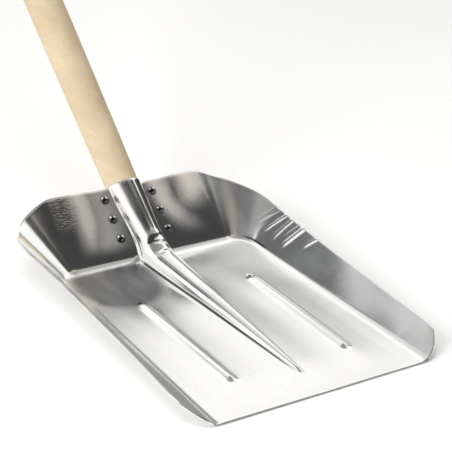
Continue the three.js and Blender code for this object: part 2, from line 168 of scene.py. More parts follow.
# Handle's taper into the socket: (distance from the crease, radius)
HANDLE_FORM = [
    (HANDLE_TIP, 11.2), (22, 12.2), (24, 12.5), (38, 13.2),
    (62, 15.7), (86, 18.0), (150, 19.2), (290, HANDLE_RADIUS),
]
HANDLE_END_ROUND = 9.0
HANDLE_END_CROWN = 0.15

SCREW_S = 64.0
SCREW_HEAD_RADIUS = 4.6
SCREW_HEAD_HEIGHT = 2.6
SCREW_RECESS = 1.5
SCREW_NECK_RADIUS = 2.2
SCREW_CORE_RADIUS = 1.75
SCREW_THREAD = 0.45
SCREW_PITCH = 1.75
SCREW_LENGTH = 24.0

WALL_COS = math.cos(WALL_ANGLE)
WALL_SIN = math.sin(WALL_ANGLE)
FRAME_SHIFT = np.array([0.0, EDGE_TO_CREASE - ORIGIN_BEHIND_EDGE, SHEET])

# ------------ mesh steps

PROFILE_STEPS = 32
INNER_STEPS = 4
BEND_STEPS = 14
WALL_STEPS = 30
EDGE_STEPS = 4
CORNER_SIDE_RAYS = 16
CORNER_ARC_RAYS = 48
RELAX_ROUNDS = 14
RELAX_EVERYWHERE = 0.12
PROFILE_SHARES = np.linspace(0.0, 1.0, PROFILE_STEPS + 1) ** 0.85
OUTER_SHARES = np.linspace(0.0, 1.0, 11)[1:-1]
RIB_SHARES = np.linspace(0.0, 1.0, 19)
EDGE_SHARES = np.linspace(0.0, 1.0, 9)[1:]
# Rows across the floor: stops, and the step between rows after each
ROW_STOPS = [-EDGE_TO_CREASE, -268.0, -250.0, -236.0, -92.0, -72.0, -30.0, -CORNER_RADIUS]
ROW_STEPS = [1.8, 1.2, 1.0, 2.8, 1.1, 2.0, 0.8]
RIVET_SIDES = 40
HANDLE_SIDES = 72
SCREW_SIDES = 64
SCREW_RINGS = 12

# ------------ marks on the sheet, m

EDGE_Y = -0.001 * ORIGIN_BEHIND_EDGE
CREASE_Y = 0.001 * FRAME_SHIFT[1]
TIP_Y = 0.001 * (RIDGE_TIP + FRAME_SHIFT[1])
FLOOR_Z = 0.001 * SHEET

# Bands up the back wall, rougher and less metallic, painted beige as painted reflection
# streaks: (x at the foot, x at the rim, half width, height where the band starts and where it
# is full, strength)
PAINTED_STREAK_BANDS = [
    (0.066, 0.036, 0.015, 0.008, 0.036, 0.75),
    (0.062, 0.080, 0.019, 0.024, 0.050, 1.0),
    (-0.068, -0.060, 0.013, 0.000, 0.034, 0.70),
    (-0.046, -0.036, 0.024, -0.010, 0.016, 0.42),
]
# Finely rippled patches high on the back wall, in the same form
RIPPLED_BANDS = [
    (0.070, 0.086, 0.016, 0.022, 0.036, 1.0),
    (-0.086, -0.082, 0.015, 0.024, 0.036, 1.0),
]
BAND_HEIGHTS = (0.002, 0.054)
BAND_SOFTNESS = 1.55
# Patch on the floor, rougher and painted dark grey as a painted reflection: centre x and y, half
# length along x and y
PAINTED_REFLECTION_PATCH = (-0.068, 0.246, 0.052, 0.058)
# Painted shade along the ridge's left foot, a dark line: half distance at a place and its change with y
FOOT_SHADE_X = 0.0143
FOOT_SHADE_Y = 0.184
FOOT_SHADE_SLOPE = 0.0594
FOOT_SHADE_HALF_WIDTH = (0.0007, 0.0018)
# Painted shade: a dark spot in each pit, and a dark line in the crease at the corner: (full
# within, nothing past)
PIT_SHADE = (0.0016, 0.0034)
CREASE_SHADE_HEIGHT = 0.0044
CREASE_SHADE_HALF_WIDTH = (0.0003, 0.0010)
# Painted highlights on the rivet heads, near-white spots where the surface faces a direction:
# (direction they face, cosine where they start, where full)
PAINTED_HIGHLIGHTS = [
    ((0.318, -0.319, 0.893), 0.950, 0.985),
    ((-0.543, -0.173, 0.823), 0.972, 0.992),
]

# ------------ studio

# Parts of the surroundings: (azimuth, elevation, inner, outer) in degrees, and colour. Later ones
# cover earlier ones. Azimuth is counted from +X towards +Y.
STUDIO_BASE = (1.18, 1.17, 1.15)
STUDIO_LOBES = [
    ((0, 90, 20, 46), (0.32, 0.32, 0.32)),
    ((142, 62, 9, 20), (0.28, 0.28, 0.285)),
    ((50, 8, 15, 24), (0.40, 0.40, 0.40)),
    ((125, 50, 4, 12), (0.72, 0.72, 0.73)),
    ((38, 10, 8, 14), (0.34, 0.34, 0.34)),
    ((134, 50, 3, 7), (0.33, 0.335, 0.34)),
    ((124, 36.5, 5.6, 7.8), (0.15, 0.155, 0.16)),
    ((116.5, 45.5, 2.5, 5), (0.30, 0.30, 0.30)),
    ((110, 47.5, 2.5, 5), (0.42, 0.42, 0.42)),
    ((-62, 49, 29, 38), (0.80, 0.72, 0.62)),
    ((-2, 26, 11, 16), (0.06, 0.06, 0.06)),
    ((-14, 38, 7, 10), (0.06, 0.06, 0.06)),
    ((-18, 53, 8, 11), (0.07, 0.07, 0.07)),
    ((-120, 36, 32, 46), (0.05, 0.05, 0.052)),
    ((-95, 68, 12, 19), (0.05, 0.05, 0.05)),
    ((-62, 49, 22, 30), (0.06, 0.06, 0.06)),
    ((64, 20, 11.7, 12.4), (0.06, 0.063, 0.066)),
    ((10, 10, 17, 22), (0.06, 0.06, 0.06)),
]
# Lamps: (name, place, target, diameter, power), in metres and watts
LAMPS = [
    ("overhead", (-0.6, -0.2, 4.0), (0.0, 0.1, 0.0), 4.0, 95.0),
    ("left", (-3.5, -0.4, 2.0), (0.0, 0.3, 0.2), 2.0, 95.0),
]
# Studio floor's half side and how far it lies under the scoop, mm
STUDIO_FLOOR_HALF = 9000.0
STUDIO_FLOOR_DROP = 0.2

# Camera: place in metres; azimuth, elevation and roll in degrees; focal length in mm
CAMERA_PLACE = (-0.8709, -0.9727, 0.7894)
CAMERA_ANGLES = (-37.56, 25.98, 6.0)
LENS = 127.4

# ------------ small helpers


def smoothstep(value, low, high):
    t = np.clip((value - low) / (high - low), 0.0, 1.0)
    return t * t * (3.0 - 2.0 * t)


def lerp(a, b, t):
    return a + (b - a) * t


def bump(value, centre, spread):
    """Bell curve of height 1."""
    return np.exp(-0.5 * ((value - centre) / spread) ** 2)


def smooth_curve(table, column, spread):
    """Curve through one column of a table, its corners rounded over about the given spread. The
    table's first column holds the places."""
    places = [row[0] for row in table]
    values = [row[column] for row in table]
    before = (values[1] - values[0]) / (places[1] - places[0])
    after = (values[-1] - values[-2]) / (places[-1] - places[-2])
    step = 0.5
    kernel = bump(np.arange(-3 * spread, 3 * spread + step, step), 0.0, spread)
    pad = len(kernel) // 2
    dense = np.arange(places[0] - 4 * spread, places[-1] + 4 * spread, step)
    wide = dense[0] + step * np.arange(-pad, len(dense) + pad)
    line = np.interp(wide, places, values)
    line = np.where(wide < places[0], values[0] + before * (wide - places[0]), line)
    line = np.where(wide > places[-1], values[-1] + after * (wide - places[-1]), line)
    smooth = np.convolve(line, kernel / kernel.sum(), mode="valid")[:len(dense)]
    return lambda q: np.interp(q, dense, smooth)


def resample(line, shares):
    """Points at the given shares of a polyline's length."""
    lengths = np.concatenate([[0.0], np.cumsum(np.linalg.norm(np.diff(line, axis=0), axis=1))])
    at = shares * lengths[-1]
    return np.stack([np.interp(at, lengths, line[:, k]) for k in range(line.shape[1])], axis=1)


def mesh_object(name, points, faces, material):
    """Smooth-shaded object from points in mm in the scoop's frame."""
    mesh = bpy.data.meshes.new(name)
    placed = (np.asarray(points, float) + FRAME_SHIFT) * 0.001
    mesh.from_pydata(placed.tolist(), [], [tuple(int(i) for i in face) for face in faces])
    mesh.validate()
    mesh.polygons.foreach_set("use_smooth", [True] * len(mesh.polygons))
    mesh.materials.append(material)
    obj = bpy.data.objects.new(name, mesh)
    bpy.context.scene.collection.objects.link(obj)
    return obj


def stand_for(obj, node):
    """Shows the object in place of a node of the part's model."""
    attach(obj, "root")
    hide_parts(node)


# ------------ scoop surface

form_radius = smooth_curve(FORM, 1, FORM_SPREAD)
form_crest = smooth_curve(FORM, 2, FORM_SPREAD)


def form_profile(radius, crest, fillet):
    """Half of a half-round form's cross-section, crest to sheet, as rows of [x, height]."""
    centre = crest - radius
    rise = min(centre, fillet)
    across = math.sqrt(max((radius + fillet) ** 2 - (fillet - rise) ** 2, 0.0))
    turn = math.atan2(across, fillet - rise)
    arc = turn * np.linspace(0.0, 1.0, 40)
    back = turn * (1.0 - np.linspace(0.0, 1.0, 16))
    line = np.concatenate([
        np.stack([radius * np.sin(arc), centre + radius * np.cos(arc)], axis=1),
        np.stack([across - fillet * np.sin(back), fillet - fillet * np.cos(back)], axis=1),
    ])
    return resample(line, PROFILE_SHARES)


def centre_strip(q, side):
    """[x, height] across half of the centre form at distance q along the path. The neck's folds
    reach further down on the right side, side = 1."""
    flat_x = TIP_HALF_WIDTH * PROFILE_SHARES
    fade = smoothstep(q, RIDGE_TIP, RIDGE_TIP + RIDGE_FADE)
    if fade == 0.0:
        return np.stack([flat_x, np.zeros_like(flat_x)], axis=1)
    radius = form_radius(q)
    fillet = lerp(RIDGE_FILLET, TUBE_FILLET, smoothstep(q, -FILLET_CHANGE, FILLET_CHANGE))
    # Towards the tip the fillet shrinks with the radius.
    profile = form_profile(radius, form_crest(q), min(fillet, 0.4 + 0.6 * radius))
    x = lerp(flat_x, np.maximum(profile[:, 0], flat_x), fade)
    height = profile[:, 1] * fade

    across = np.clip(x / max(radius, 1.0), 0.0, 1.0)
    lean = np.cos(across * math.pi / 2.0)
    if side < 0:
        lean = lean * (1.0 - 0.8 * smoothstep(across, 0.15, 0.7))
    fold = sum(amount * bump(q, centre, spread) for centre, amount, spread in NECK_FOLDS)
    return np.stack([x, height + fold * lean], axis=1)


def floor_half(y):
    """Half width of the floor between the side walls' creases."""
    return lerp(FLOOR_HALF_BACK, FLOOR_HALF_FRONT, -y / EDGE_TO_CREASE)


def back_length(x):
    """Length of the back wall from the crease to the rim."""
    return WALL_LENGTH + WALL_CROWN * (x / 100.0) ** 2


FAN_X = floor_half(-CORNER_RADIUS) - CORNER_RADIUS
CORNER_BACK_Z = back_length(BACK_HALF) * WALL_SIN
CORNER_Y = back_length(BACK_HALF) * WALL_COS - RIM_RADIUS
RIM_SIDE_X = BACK_HALF + RIM_RADIUS


def rim_half(y):
    """Half width of the scoop at the side walls' rim, narrowest at the waist."""
    return RIM_WAIST + (RIM_SIDE_X - RIM_WAIST) * ((y - RIM_WAIST_Y) / (CORNER_Y - RIM_WAIST_Y)) ** 2


def rim_z(y):
    """Height of the side walls' rim."""
    return RIM_SIDE_Z + RIM_SLOPE * (y - CORNER_Y)


def corner_rim(angle):
    """Rim of the right back corner: angle is 0 at the back wall and a right angle at the side."""
    left = 1.0 - angle / (math.pi / 2.0)
    return np.array([
        BACK_HALF + RIM_RADIUS * math.sin(angle),
        CORNER_Y + RIM_RADIUS * math.cos(angle),
        RIM_SIDE_Z + (CORNER_BACK_Z - RIM_SIDE_Z) * left ** 2,
    ])


def wall_section(inner, crease, rim, bend):
    """Points from the flat floor at inner over the bend and up the wall to the rim."""
    flat = math.hypot(rim[0] - crease[0], rim[1] - crease[1])
    along = np.array([(rim[0] - crease[0]) / flat, (rim[1] - crease[1]) / flat])
    slope = math.atan2(rim[2], flat)
    tangent = bend * math.tan(slope / 2.0)
    angles = slope * np.linspace(0.0, 1.0, BEND_STEPS + 1)
    out = -tangent + bend * np.sin(angles)
    curve = np.stack([
        crease[0] + along[0] * out,
        crease[1] + along[1] * out,
        bend * (1.0 - np.cos(angles)),
    ], axis=1)
    start = np.array([inner[0], inner[1], 0.0])
    flat_part = lerp(start, curve[0], np.linspace(0.0, 1.0, INNER_STEPS + 1)[:-1, None])
    rise = np.linspace(0.0, 1.0, WALL_STEPS + 1)[1:, None]
    return np.concatenate([flat_part, curve, lerp(curve[-1], np.asarray(rim), rise)])


def side_bend(y):
    """Radius of the bend between floor and side wall."""
    return lerp(SIDE_BEND_BACK, SIDE_BEND_FRONT, (-y / EDGE_TO_CREASE) ** SIDE_BEND_POWER)


def front_round(share, y):
    """How far the side wall's rounded front corner is set back, at a share of the wall's width."""
    reach = np.clip(1.0 - (y + EDGE_TO_CREASE) / FRONT_ROUND_REACH, 0.0, 1.0)
    return FRONT_ROUND * reach * share ** FRONT_ROUND_POWER


def side_section(y):
    """Section of the right side, from the flat floor out to the rim."""
    cut = front_round(1.0, y)
    tuck = FRONT_TUCK * (cut / FRONT_ROUND) ** 2
    crease = (floor_half(y), y)
    rim = (rim_half(y + cut) - tuck, y, rim_z(y + cut))
    section = wall_section((floor_half(y) - CORNER_RADIUS, y), crease, rim, side_bend(y))
    share = np.clip((section[:, 0] - crease[0]) / (rim[0] - crease[0]), 0.0, 1.0)
    section[:, 1] += front_round(share, y)
    return section


def corner_section(rim):
    """Section of the right back corner, from the fan's centre out to a point of the rim."""
    ray = math.atan2(rim[0] - FAN_X, rim[1] + CORNER_RADIUS)
    crease = (
        FAN_X + CORNER_RADIUS * math.sin(ray),
        -CORNER_RADIUS + CORNER_RADIUS * math.cos(ray),
    )
    bend = lerp(BACK_BEND, side_bend(-CORNER_RADIUS), np.clip(ray / (math.pi / 2.0), 0.0, 1.0))
    return wall_section((FAN_X, -CORNER_RADIUS), crease, rim, bend)


RIB_IN = RIB_X - RIB_WIDTH / 2.0
RIB_OUT = RIB_X + RIB_WIDTH / 2.0


def outer_columns(start, narrow, edge):
    """Column places from the centre form's foot out to the inner side line."""
    return np.concatenate([
        lerp(start, RIB_IN * narrow, OUTER_SHARES),
        lerp(RIB_IN * narrow, RIB_OUT * narrow, RIB_SHARES),
        lerp(RIB_OUT * narrow, edge, EDGE_SHARES),
    ])


def rib_height(x, y):
    """Height of a rib's rounded bead, with short round ends and a small pit behind it."""
    across = (np.abs(x) - RIB_X) / (RIB_WIDTH / 2.0)
    bead = 0.5 + 0.5 * np.cos(math.pi * np.clip(across, -1.0, 1.0))
    front_end = smoothstep(y, RIB_FRONT, RIB_FRONT + RIB_END)
    back_end = 1.0 - smoothstep(y, RIB_BACK - RIB_END, RIB_BACK)
    from_pit = np.hypot(np.abs(x) - RIB_X, 1.2 * (y - RIB_BACK))
    pit = 1.0 - smoothstep(from_pit, 0.4 * PIT_RADIUS, PIT_RADIUS)
    return RIB_HEIGHT * bead * front_end * back_end - PIT_DEPTH * pit


def row_points(q, base_at, narrow, edge, side):
    """Half row of the upper face. base_at gives [y, z] of the plain sheet at each x, and the centre
    form stands on it, leaning back more and more where the ridge turns up the wall."""
    strip = centre_strip(q, side)
    lean = WALL_ANGLE * smoothstep(q, *FORM_TURN)
    base = base_at(strip[:, 0])
    centre = np.stack([
        strip[:, 0],
        base[0] - math.sin(lean) * strip[:, 1],
        base[1] + math.cos(lean) * strip[:, 1],
    ], axis=1)
    x = outer_columns(strip[-1, 0], narrow, edge)
    base = base_at(x)
    return np.concatenate([centre, np.stack([x, base[0], base[1]], axis=1)])


def floor_half_row(y, side):
    """Half row across the floor, out to where the side's section starts."""
    edge = floor_half(y) - CORNER_RADIUS
    row = row_points(y, lambda x: (np.full_like(x, y), np.zeros_like(x)), 1.0, edge, side)
    outside = row[:, 0] > RIB_IN - 1.0
    row[:, 2] += np.where(outside, rib_height(row[:, 0], y), 0.0)
    return row


BACK_TANGENT = BACK_BEND * math.tan(WALL_ANGLE / 2.0)


def back_base(q, x):
    """[y, z] of the plain sheet at distance q along the floor, round the bend and up the back wall."""
    if q < -BACK_TANGENT:
        return np.full_like(x, q), np.zeros_like(x)
    if q > BACK_TANGENT:
        share = (q - BACK_TANGENT) / (WALL_LENGTH - BACK_TANGENT)
        up = lerp(BACK_TANGENT, back_length(x), share)
        return up * WALL_COS, up * WALL_SIN
    angle = WALL_ANGLE * (0.5 + 0.5 * q / BACK_TANGENT)
    y = -BACK_TANGENT + BACK_BEND * math.sin(angle)
    z = BACK_BEND * (1.0 - math.cos(angle))
    return np.full_like(x, y), np.full_like(x, z)


def back_half_rows(side):
    """Upper face of the back wall, one half row after another up to the rim."""
    places = np.concatenate([
        np.linspace(-CORNER_RADIUS, -BACK_TANGENT, INNER_STEPS + 1)[1:-1],
        np.linspace(-BACK_TANGENT, BACK_TANGENT, BEND_STEPS + 1),
        np.linspace(BACK_TANGENT, WALL_LENGTH, WALL_STEPS + 1)[1:],
    ])
    rows = []
    for q in places:
        share = (q + CORNER_RADIUS) / (WALL_LENGTH + CORNER_RADIUS)
        narrow = lerp(1.0, BACK_HALF / FAN_X, share)
        rows.append(row_points(q, lambda x, q=q: back_base(q, x), narrow, FAN_X * narrow, side))
    return rows


def full_row(left_half, right_half):
    """Row from left to right, from two half rows that both run outwards on the right."""
    left = left_half[1:][::-1] * np.array([-1.0, 1.0, 1.0])
    return np.concatenate([left, right_half])


def spaced(stops, steps):
    """Places from stop to stop with about the given step in each stretch."""
    places = [stops[0]]
    for low, high, step in zip(stops, stops[1:], steps):
        count = max(int(round((high - low) / step)), 1)
        places.extend(np.linspace(low, high, count + 1)[1:])
    return places


def scoop_patches():
    """Upper face of the scoop as grids of points: floor, back wall, and each side with its corner."""
    floor_rows = spaced(ROW_STOPS, ROW_STEPS)
    floor = [full_row(floor_half_row(y, -1), floor_half_row(y, 1)) for y in floor_rows]
    back_half = back_half_rows(1)
    back = [full_row(left, right) for left, right in zip(back_half_rows(-1), back_half)]

    side = [side_section(y) for y in floor_rows]
    for i in range(CORNER_SIDE_RAYS):
        y = lerp(-CORNER_RADIUS, CORNER_Y, (i + 1) / (CORNER_SIDE_RAYS + 1))
        side.append(corner_section((rim_half(y), y, rim_z(y))))
    for i in range(CORNER_ARC_RAYS):
        side.append(corner_section(corner_rim((1 - i / CORNER_ARC_RAYS) * math.pi / 2)))
    side.append(np.array([[FAN_X, -CORNER_RADIUS, 0.0]] + [row[-1] for row in back_half]))

    right = np.array(side)
    left = right[:, ::-1] * np.array([-1.0, 1.0, 1.0])
    return [np.array(floor), np.array([floor[-1]] + back), right, left]


def weld(patches):
    """One set of points and faces from grids that share their border points."""
    points = np.concatenate([patch.reshape(-1, 3) for patch in patches])
    _, first, index = np.unique(np.round(points, 3), axis=0, return_index=True, return_inverse=True)
    index = index.reshape(-1)
    faces = []
    start = 0
    for patch in patches:
        rows, columns = patch.shape[:2]
        ids = index[start:start + rows * columns].reshape(rows, columns)
        start += rows * columns
        quads = np.stack([ids[:-1, :-1], ids[:-1, 1:], ids[1:, 1:], ids[1:, :-1]], axis=-1)
        for quad in quads.reshape(-1, 4):
            corners = list(dict.fromkeys(quad.tolist()))
            if len(corners) >= 3:
                faces.append(corners)
    return points[first], faces


def point_normals(points, faces):
    """Unit normal at each point, as the mean of its faces' normals by area."""
    triangles = np.array([(f[0], f[i], f[i + 1]) for f in faces for i in range(1, len(f) - 1)])
    a, b, c = (points[triangles[:, k]] for k in range(3))
    face = np.cross(b - a, c - a)
    normals = np.zeros_like(points)
    for k in range(3):
        np.add.at(normals, triangles[:, k], face)
    return normals / np.maximum(np.linalg.norm(normals, axis=1, keepdims=True), 1e-12)


def border_loop(faces):
    """Points round the free edge, in order, with the surface on the left."""
    sides = dict.fromkeys(pair for face in faces for pair in zip(face, face[1:] + face[:1]))
    step = {a: b for a, b in sides if (b, a) not in sides}
    loop = [next(iter(step))]
    while step[loop[-1]] != loop[0]:
        loop.append(step[loop[-1]])
    return np.array(loop)


def relax(points, faces, weight, rounds):
    """Evens out the surface by each point's weight. Border points follow their border neighbours only."""
    edges = {tuple(sorted(pair)) for face in faces for pair in zip(face, face[1:] + face[:1])}
    edges = np.array(sorted(edges))
    loop = border_loop(faces)
    on_border = np.zeros(len(points), bool)
    on_border[loop] = True
    to, source = np.concatenate([edges, edges[:, ::-1]]).T
    inside = ~on_border[to]
    following = np.roll(loop, -1)
    to = np.concatenate([to[inside], loop, following])
    source = np.concatenate([source[inside], following, loop])
    count = np.bincount(to, minlength=len(points))[:, None]
    for _ in range(rounds):
        total = np.zeros_like(points)
        np.add.at(total, to, points[source])
        points = points + 0.5 * weight[:, None] * (total / count - points)
    return points


# ------------ sheet detail


def puckers(points):
    """Depth of the puckers at each point of the side walls."""
    x, y, z = np.abs(points[:, 0]), points[:, 1], points[:, 2]
    share = np.clip(z / np.maximum(rim_z(y), 1.0), 0.0, 1.2)
    depth = np.zeros(len(points))
    for rim_y, foot_y, foot, width, amount in PUCKERS:
        run = (share - foot) / (1.0 - foot)
        line = lerp(foot_y, rim_y, np.clip(run, 0.0, 1.2)) + PUCKER_BOW * run * (1.0 - run)
        fade = smoothstep(run, 0.0, 0.45)
        across = (y - line) / width
        depth += amount * fade * np.exp(-across ** 2) * (1.0 - 0.9 * across ** 2)
    return depth * smoothstep(x, FLOOR_HALF_BACK - 5.0, FLOOR_HALF_BACK + 7.0)


def swells(points):
    """Height of the back wall's swells at each point."""
    x, y, z = points[:, 0], points[:, 1], points[:, 2]
    up = y * WALL_COS + z * WALL_SIN
    lift = np.zeros(len(points))
    for foot_x, rim_x, width, height, start, full in SWELLS:
        centre = lerp(foot_x, rim_x, np.clip(up / WALL_LENGTH, 0.0, 1.0))
        lift += height * bump(x, centre, width) * smoothstep(up, start, full)
    return lift * smoothstep(y, 2.0, 12.0)


def waviness(points):
    """Slow, shallow waves in the floor and the rises along its ridge and ribs."""
    x, y = points[:, 0], points[:, 1]
    waves = sum(height * np.sin(x / across + y / along) for height, across, along in WAVES)
    rises = sum(height * bump(x, centre, width) for centre, width, height in RISES)
    rises = rises * smoothstep(-y, 50.0, 120.0) * (1.0 - smoothstep(-y, 240.0, 292.0))
    rises = rises * (1.0 - smoothstep(np.abs(x), 92.0, 106.0))
    on_floor = 1.0 - smoothstep(y, -20.0, -4.0)
    return on_floor * (waves + rises)


def sheet_thickness(points):
    """Full thickness, thinner over the ridge's narrow tip."""
    near_centre = np.abs(points[:, 0]) < 6.0
    tip = smoothstep(-points[:, 1], 215.0, 250.0)
    return SHEET - np.where(near_centre, TIP_THINNING * tip, 0.0)


def upper_face():
    """Points and faces of the scoop's upper face, evened out, with all its pressed marks."""
    points, faces = weld(scoop_patches())
    x, y = np.abs(points[:, 0]), points[:, 1]
    corner = smoothstep(x, 72.0, 88.0) * smoothstep(y, -4.0, 14.0)
    points = relax(points, faces, lerp(RELAX_EVERYWHERE, 1.0, corner), RELAX_ROUNDS)
    lift = puckers(points) + swells(points) + waviness(points)
    return points + point_normals(points, faces) * lift[:, None], faces


def edge_rings(upper, lower, outward):
    """Rows of points that carry the cut edge round from the upper face to the lower."""
    middle = (upper + lower) / 2.0
    half = (upper - lower) / 2.0
    angles = [math.pi * step / EDGE_STEPS for step in range(1, EDGE_STEPS)]
    return [middle + half * math.cos(a) + outward * EDGE_BULGE * math.sin(a) for a in angles]


def closed_sheet(front, back, faces, rings=()):
    """Closed sheet between a front and a back that match point for point. Rings are rows of points
    along the cut edge, from front to back."""
    count = len(front)
    loop = border_loop(faces)
    first = 2 * count + np.arange(len(loop))
    rows = [loop] + [first + k * len(loop) for k in range(len(rings))] + [loop + count]
    all_faces = faces + [[i + count for i in reversed(face)] for face in faces]
    for near, far in zip(rows, rows[1:]):
        all_faces += np.stack([np.roll(near, -1), near, far, np.roll(far, -1)], axis=1).tolist()
    return np.concatenate([front, back, *rings]), all_faces


def blade(material):
    """Scoop: upper face, lower face one sheet under it but never below the floor's, and cut edge."""
    points, faces = upper_face()
    normals = point_normals(points, faces)
    lower = points - normals * sheet_thickness(points)[:, None]
    lower[:, 2] = np.maximum(lower[:, 2], -SHEET)

    loop = border_loop(faces)
    along = points[np.roll(loop, -1)] - points[np.roll(loop, 1)]
    outward = np.cross(along, normals[loop])
    outward /= np.linalg.norm(outward, axis=1, keepdims=True)
    rings = edge_rings(points[loop], lower[loop], outward)
    scoop = mesh_object("scoop", *closed_sheet(points, lower, faces, rings), material)
    stand_for(scoop, "blade")


# ------------ pieces on the back wall


def on_wall(points):
    """From the back wall's frame [x, distance up the wall, height over it] to the scoop's frame."""
    x, s, height = np.asarray(points, float).T
    return np.stack([x, s * WALL_COS - height * WALL_SIN, s * WALL_SIN + height * WALL_COS], axis=1)


def round_angles(sides):
    return 2.0 * math.pi * np.arange(sides) / sides


def ring(radius, height, sides):
    return [(radius * math.cos(a), radius * math.sin(a), height) for a in round_angles(sides)]


def ring_faces(low, high, sides):
    """Faces between two rings of points that start at low and high."""
    return [(low + i, low + (i + 1) % sides, high + (i + 1) % sides, high + i) for i in range(sides)]


def cap_faces(start, tip, sides):
    """Faces from a ring of points that starts at start to one tip."""
    return [(start + i, start + (i + 1) % sides, tip) for i in range(sides)]


def turned(profile, sides, wobble):
    """Points and faces of a closed turned body about +Z, from [radius, height] rows that begin and
    end on the axis. wobble changes each point's radius by its height and angle."""
    points = [(0.0, 0.0, profile[0][1])]
    for radius, height in profile[1:-1]:
        for angle in round_angles(sides):
            r = radius + wobble(height, angle)
            points.append((r * math.cos(angle), r * math.sin(angle), height))
    points.append((0.0, 0.0, profile[-1][1]))
    starts = [1 + k * sides for k in range(len(profile) - 2)]
    faces = [face[::-1] for face in cap_faces(starts[0], 0, sides)]
    for low, high in zip(starts, starts[1:]):
        faces += ring_faces(low, high, sides)
    faces += cap_faces(starts[-1], len(points) - 1, sides)
    return np.array(points), faces


def rounded(rows, radius, steps):
    """Profile with its corners rounded, all but the first and last point."""
    rows = [np.array(row, float) for row in rows]
    result = [rows[0]]
    for before, corner, after in zip(rows, rows[1:], rows[2:]):
        to_before, to_after = before - corner, after - corner
        reach = min(radius, 0.45 * np.linalg.norm(to_before), 0.45 * np.linalg.norm(to_after))
        start = corner + to_before / np.linalg.norm(to_before) * reach
        end = corner + to_after / np.linalg.norm(to_after) * reach
        for t in np.linspace(0.0, 1.0, steps):
            result.append((1 - t) ** 2 * start + 2 * t * (1 - t) * corner + t ** 2 * end)
    result.append(rows[-1])
    return [tuple(row) for row in result]


def rivet_profile():
    """[radius, height] rows from the tail behind the plate to the crown of the domed head."""
    tail_seat = -2 * SHEET - 2 * GAP
    tail_end = tail_seat - RIVET_TAIL_HEIGHT
    foot = rounded([
        (0.0, tail_end),
        (RIVET_TAIL_RADIUS * 0.82, tail_end),
        (RIVET_TAIL_RADIUS, tail_seat - RIVET_TAIL_HEIGHT * 0.5),
        (RIVET_TAIL_RADIUS, tail_seat),
        (RIVET_SHANK_RADIUS, tail_seat),
        (RIVET_SHANK_RADIUS, RIVET_SEAT),
        (RIVET_HEAD_RADIUS + 0.1, RIVET_SEAT),
        (RIVET_HEAD_RADIUS, RIVET_SEAT + RIVET_LIP),
    ], 0.15, 4)
    ball = (RIVET_HEAD_RADIUS ** 2 + RIVET_HEAD_HEIGHT ** 2) / (2.0 * RIVET_HEAD_HEIGHT)
    crown = RIVET_SEAT + RIVET_LIP + RIVET_HEAD_HEIGHT
    lowest = math.asin((ball - RIVET_HEAD_HEIGHT) / ball)
    dome = [
        (ball * math.cos(a), crown - ball + ball * math.sin(a))
        for a in np.linspace(lowest, math.pi / 2.0, 15)[:-1]
    ]
    return foot[:-1] + dome + [(0.0, crown)]


def rivet(index, x, s, material):
    """Domed rivet with a fine lip round its head, a little out of round and out of true."""
    phase = 1.7 * index

    def wobble(height, angle):
        return 0.05 * math.sin(2 * angle + phase) + 0.03 * math.sin(3 * angle - 2 * phase)

    points, faces = turned(rivet_profile(), RIVET_SIDES, wobble)
    points[:, 2] += points[:, 0] * 0.03 * math.sin(2.3 * index)
    placed = on_wall(points + np.array([x, s, 0.0]))
    obj = mesh_object(f"rivet_{index}_domed", placed, faces, material)
    stand_for(obj, f"rivet_{index}")


handle_radius = smooth_curve(HANDLE_FORM, 1, 1.0)


def trough_radius(s):
    """Radius of the trough's rear face at distance s up the wall."""
    return handle_radius(s) + SHEET + 2 * GAP


def trough_depth(s):
    """Depth of the trough's rear face behind the plate's."""
    return handle_radius(s) + HANDLE_DEPTH - SHEET + GAP


def back_plate_row(s):
    """Row across the plate's rear face at distance s up the wall."""
    at = np.clip(s, *PLATE_TROUGH)
    profile = form_profile(trough_radius(at), trough_depth(at), PLATE_FILLET)
    in_corner = max(PLATE_CORNER - min(s - PLATE_BOTTOM, PLATE_TOP - s), 0.0)
    edge = PLATE_HALF_WIDTH - PLATE_CORNER + math.sqrt(max(PLATE_CORNER ** 2 - in_corner ** 2, 0.0))
    flat_x = lerp(profile[-1, 0], edge, np.linspace(0.0, 1.0, 13)[1:])
    x = np.concatenate([profile[:, 0], flat_x])
    height = np.concatenate([profile[:, 1], np.zeros_like(flat_x)])
    half = np.stack([x, np.full_like(x, s), -2 * SHEET - GAP - height], axis=1)
    return full_row(half, half)


def back_plate(material):
    """Sheet behind the wall with a trough round the handle and rounded corners."""
    rows = [back_plate_row(s) for s in np.linspace(PLATE_BOTTOM, PLATE_TOP, 49)]
    points, faces = weld([np.array(rows)])
    rear = on_wall(points)
    front = rear + point_normals(rear, faces) * SHEET
    obj = mesh_object("back_plate_pressed", *closed_sheet(front, rear, faces), material)
    bevel = obj.modifiers.new("soft edges", "BEVEL")
    bevel.width = 0.00035
    bevel.segments = 2
    bevel.limit_method = "ANGLE"
    bevel.angle_limit = math.radians(50)
    stand_for(obj, "socket_back_plate")


def handle_profile():
    """[radius, height] rows from the tip in the socket to the rounded upper end."""
    top = HANDLE_TIP + HANDLE_LENGTH
    shoulder = top - HANDLE_END_ROUND
    face_radius = HANDLE_RADIUS - HANDLE_END_ROUND
    tip = rounded([(0.0, HANDLE_TIP), (11.6, HANDLE_TIP), (12.4, 23.0)], 1.6, 6)[:-1]
    stations = np.concatenate([
        np.arange(24.0, 100.0, 3.0),
        np.arange(100.0, shoulder, 12.0),
    ])
    body = [(handle_radius(s), s) for s in stations]
    end = [
        (face_radius + HANDLE_END_ROUND * math.cos(a), shoulder + HANDLE_END_ROUND * math.sin(a))
        for a in np.linspace(0.0, math.pi / 2.0, 10)
    ]
    face = [(r, top + HANDLE_END_CROWN * (1 - (r / 12.0) ** 2)) for r in (8.0, 4.0, 0.0)]
    return tip + body + end + face


